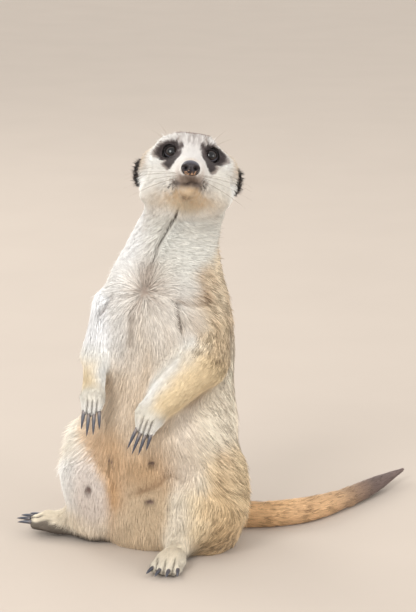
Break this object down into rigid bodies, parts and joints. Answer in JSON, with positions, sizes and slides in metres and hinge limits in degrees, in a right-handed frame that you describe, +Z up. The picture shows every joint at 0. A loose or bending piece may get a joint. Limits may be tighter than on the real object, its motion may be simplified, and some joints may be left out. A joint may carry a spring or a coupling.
{
  "type": "meerkat",
  "caption": "Life-size meerkat sitting upright on its rump, forepaws hanging at its chest, hind feet out on the floor and tail curved to its left.",
  "frame": {"origin": "middle of the flat that the rump rests on, on the floor", "axes": "+Z up; the animal looks along -Y, and its left side is at +X"},
  "size_m": [0.2672, 0.2173, 0.2731],
  "materials": {
    "coat_white": "short pale cream fur, white on the face and golden on the outer forearms",
    "coat_belly": "thin pinkish-tan fur, orange-ochre low on the belly, grizzled brown on the back",
    "coat_tan": "longer sandy fur with dark-tipped hairs",
    "coat_tail": "ochre fur with dark speckles",
    "coat_tip": "dark brown fur",
    "ear": "black velvet fur",
    "eye": "wet, very dark brown",
    "nose": "moist bare skin, dark brown",
    "claw": "dark blue-grey horn"
  },
  "bodies": {
    "root": {"belly": "coat_belly", "chest": "coat_belly", "neck": "coat_white", "head": "coat_white", "nose": "nose", "ear_l": "ear", "ear_r": "ear", "eye_l": "eye", "eye_r": "eye", "hand_l": "coat_white", "hand_r": "coat_white", "foot_l": "coat_white", "foot_r": "coat_white", "upper_arm_l": "coat_white", "upper_arm_r": "coat_white", "forearm_l": "coat_white", "forearm_r": "coat_white", "thigh_l": "coat_tan", "thigh_r": "coat_tan", "shin_l": "coat_tan", "shin_r": "coat_tan", "tail_root": "coat_tail", "tail_middle": "coat_tail", "tail_tip": "coat_tip", "hand_claw1_l": "claw", "hand_claw1_r": "claw", "hand_claw2_l": "claw", "hand_claw2_r": "claw", "hand_claw3_l": "claw", "hand_claw3_r": "claw", "hand_claw4_l": "claw", "hand_claw4_r": "claw", "foot_claw1_l": "claw", "foot_claw1_r": "claw", "foot_claw2_l": "claw", "foot_claw2_r": "claw", "foot_claw3_l": "claw", "foot_claw3_r": "claw", "foot_claw4_l": "claw", "foot_claw4_r": "claw"}
  },
  "joints": []
}
